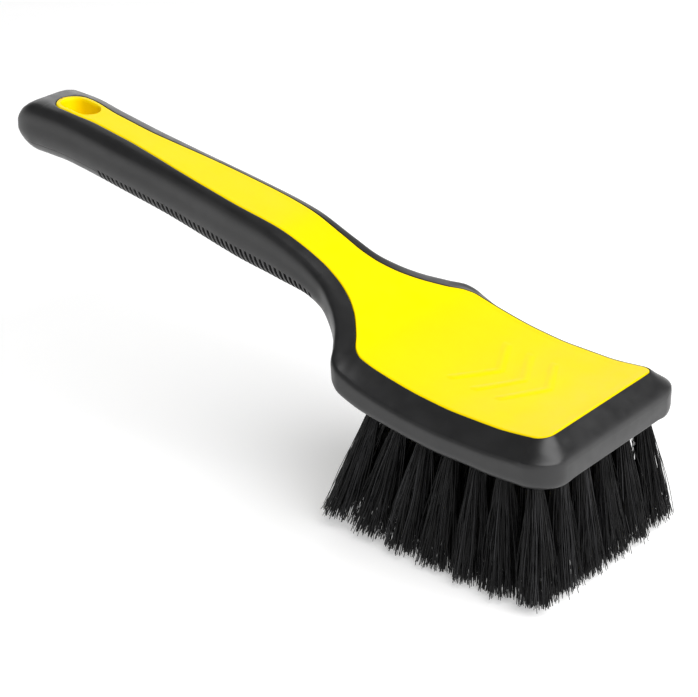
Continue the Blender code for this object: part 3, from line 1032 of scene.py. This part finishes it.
def ramp(tree, factor, stops):
    node = tree.nodes.new("ShaderNodeValToRGB")
    node.color_ramp.elements[0].position = stops[0][0]
    node.color_ramp.elements[0].color = (*stops[0][1], 1.0)
    node.color_ramp.elements[1].position = stops[-1][0]
    node.color_ramp.elements[1].color = (*stops[-1][1], 1.0)
    for position, colour in stops[1:-1]:
        stop = node.color_ramp.elements.new(position)
        stop.color = (*colour, 1.0)
    tree.links.new(factor, node.inputs["Fac"])
    return node.outputs["Color"]


def value_range(tree, factor, low, high):
    node = tree.nodes.new("ShaderNodeMapRange")
    node.inputs["From Min"].default_value = 0.3
    node.inputs["From Max"].default_value = 0.7
    node.inputs["To Min"].default_value = low
    node.inputs["To Max"].default_value = high
    tree.links.new(factor, node.inputs["Value"])
    return node.outputs["Result"]


def bump(tree, shader, height, strength, distance):
    node = tree.nodes.new("ShaderNodeBump")
    node.inputs["Strength"].default_value = strength
    node.inputs["Distance"].default_value = distance
    tree.links.new(height, node.inputs["Height"])
    tree.links.new(node.outputs["Normal"], shader.inputs["Normal"])


def yellow_plastic():
    """Hard glossy plastic with faint flow marks and a fine moulded grain."""
    surface, tree, shader = new_surface("yellow_plastic", 0.38)
    shader.inputs["Specular IOR Level"].default_value = 0.07
    tone = ramp(tree, noise(tree, 28.0, 3.0), (
        (0.3, (0.97, 0.715, 0.0)), (0.7, (0.985, 0.745, 0.0))))
    tree.links.new(tone, shader.inputs["Base Color"])
    rough = value_range(tree, noise(tree, 160.0), 0.32, 0.46)
    tree.links.new(rough, shader.inputs["Roughness"])
    bump(tree, shader, noise(tree, 2600.0, 2.0), 0.08, 0.0001)
    return surface


def black_rubber():
    """Soft black overmould: satin, with a fine matt grain and slightly scuffed patches."""
    surface, tree, shader = new_surface("black_rubber", 0.46)
    shader.inputs["Specular IOR Level"].default_value = 0.55
    tone = ramp(tree, noise(tree, 60.0, 5.0), (
        (0.3, (0.009, 0.009, 0.0095)), (0.7, (0.015, 0.015, 0.0155))))
    tree.links.new(tone, shader.inputs["Base Color"])
    rough = value_range(tree, noise(tree, 220.0, 5.0), 0.30, 0.42)
    tree.links.new(rough, shader.inputs["Roughness"])
    bump(tree, shader, noise(tree, 3200.0, 3.0), 0.14, 0.0001)
    return surface


def bristle_black():
    """Stiff black filaments, each a little lighter or darker than the next."""
    surface, tree, shader = new_surface("bristle_black", 0.4)
    shader.inputs["Specular IOR Level"].default_value = 0.22
    own = tree.nodes.new("ShaderNodeAttribute")
    own.attribute_name = "strand_tone"
    tone = ramp(tree, own.outputs["Fac"], (
        (0.0, (0.002, 0.002, 0.002)), (0.75, (0.006, 0.006, 0.0065)), (1.0, (0.03, 0.03, 0.032))))
    tree.links.new(tone, shader.inputs["Base Color"])
    rough = value_range(tree, noise(tree, 900.0, 2.0, (1.0, 1.0, 0.15)), 0.34, 0.5)
    tree.links.new(rough, shader.inputs["Roughness"])
    return surface


def anchor_steel():
    """Bright drawn steel wire with fine lines along it."""
    surface, tree, shader = new_surface("anchor_steel", 0.3, 1.0)
    tone = ramp(tree, noise(tree, 4000.0, 2.0, (0.1, 1.0, 1.0)), (
        (0.3, (0.50, 0.50, 0.51)), (0.7, (0.62, 0.62, 0.63))))
    tree.links.new(tone, shader.inputs["Base Color"])
    rough = value_range(tree, noise(tree, 3000.0, 2.0, (0.1, 1.0, 1.0)), 0.25, 0.4)
    tree.links.new(rough, shader.inputs["Roughness"])
    return surface


def pale_floor():
    """White paper that gives off some light of its own, which keeps the brush's shadow soft and pale."""
    surface, tree, shader = new_surface("pale_floor", 0.9)
    tone = ramp(tree, noise(tree, 3.0, 2.0), (
        (0.3, (0.75, 0.75, 0.75)), (0.7, (0.76, 0.76, 0.76))))
    tree.links.new(tone, shader.inputs["Base Color"])
    shader.inputs["Specular IOR Level"].default_value = 0.0
    shader.inputs["Emission Color"].default_value = (1.0, 1.0, 1.0, 1.0)
    shader.inputs["Emission Strength"].default_value = 0.38
    return surface


# ---- Stage ----


def build_floor():
    """A plain pale floor under the bristle tips."""
    shape = bmesh.new()
    signs = ((-1, -1), (1, -1), (1, 1), (-1, 1))
    corners = [shape.verts.new((x * FLOOR_HALF, y * FLOOR_HALF, 0.0)) for x, y in signs]
    shape.faces.new(corners)
    mesh = bpy.data.meshes.new("floor")
    shape.to_mesh(mesh)
    shape.free()
    floor = add_piece("floor", mesh, pale_floor())


def build_camera():
    """The camera, looking down at 27 degrees from 40 degrees to the side."""
    elevation = math.radians(27.0)
    azimuth = math.radians(40.0)
    data = bpy.data.cameras.new("camera")
    data.lens = 109.86
    data.sensor_width = 36.0
    camera = bpy.data.objects.new("camera", data)
    camera.location = (0.4612, -0.5244, 0.3956)
    camera.rotation_euler = (math.pi / 2.0 - elevation, 0.0, azimuth)
    bpy.context.scene.collection.objects.link(camera)
    bpy.context.scene.camera = camera


def add_area(name, place, size, power):
    data = bpy.data.lights.new(name, "AREA")
    data.shape = "RECTANGLE"
    data.size, data.size_y = size
    data.energy = power
    light = bpy.data.objects.new(name, data)
    light.location = place
    light.rotation_euler = (Vector((0.0, 0.0, 0.05)) - Vector(place)).to_track_quat("-Z", "Y").to_euler()
    bpy.context.scene.collection.objects.link(light)


def glow(tree, direction, aim, start, full, strength):
    """Brightness that rises towards one aim, from the cosine start to the cosine full."""
    turned = tree.nodes.new("ShaderNodeVectorMath")
    turned.operation = "DOT_PRODUCT"
    turned.inputs[1].default_value = Vector(aim).normalized()
    tree.links.new(direction, turned.inputs[0])
    node = tree.nodes.new("ShaderNodeMapRange")
    node.interpolation_type = "SMOOTHSTEP"
    node.inputs["From Min"].default_value = start
    node.inputs["From Max"].default_value = full
    node.inputs["To Max"].default_value = strength
    tree.links.new(turned.outputs["Value"], node.inputs["Value"])
    return node.outputs["Result"]


def add_values(tree, first, second):
    node = tree.nodes.new("ShaderNodeMath")
    node.operation = "ADD"
    tree.links.new(first, node.inputs[0])
    tree.links.new(second, node.inputs[1])
    return node.outputs["Value"]


def build_light():
    """A soft box to the right, in a studio that is bright low down, darker above and glows behind left."""
    add_area("soft_box", (1.2, -0.1, 1.4), (2.2, 2.2), SOFT_BOX_POWER)
    world = bpy.data.worlds.new("studio")
    world.use_nodes = True
    tree = world.node_tree
    background = tree.nodes["Background"]
    place = tree.nodes.new("ShaderNodeTexCoord")
    direction = place.outputs["Generated"]
    parts = tree.nodes.new("ShaderNodeSeparateXYZ")
    tree.links.new(direction, parts.inputs["Vector"])
    tone = ramp(tree, parts.outputs["Z"], (
        (0.0, (0.8, 0.8, 0.8)), (0.15, (0.5, 0.5, 0.5)), (0.35, (0.25, 0.25, 0.25)),
        (0.6, (0.12, 0.12, 0.12)), (1.0, (0.16, 0.16, 0.16))))
    left = glow(tree, direction, (-0.62, 0.70, 0.36), 0.92, 0.99, 1.7)
    total = add_values(tree, tone, left)
    tree.links.new(total, background.inputs["Strength"])
    background.inputs["Color"].default_value = (1.0, 1.0, 1.0, 1.0)
    bpy.context.scene.world = world
    bpy.context.scene.view_settings.view_transform = "Standard"


build_camera()
build_grip(black_rubber())
build_core(yellow_plastic())
build_bristles(bristle_black())
build_anchors(anchor_steel())
build_floor()
build_light()
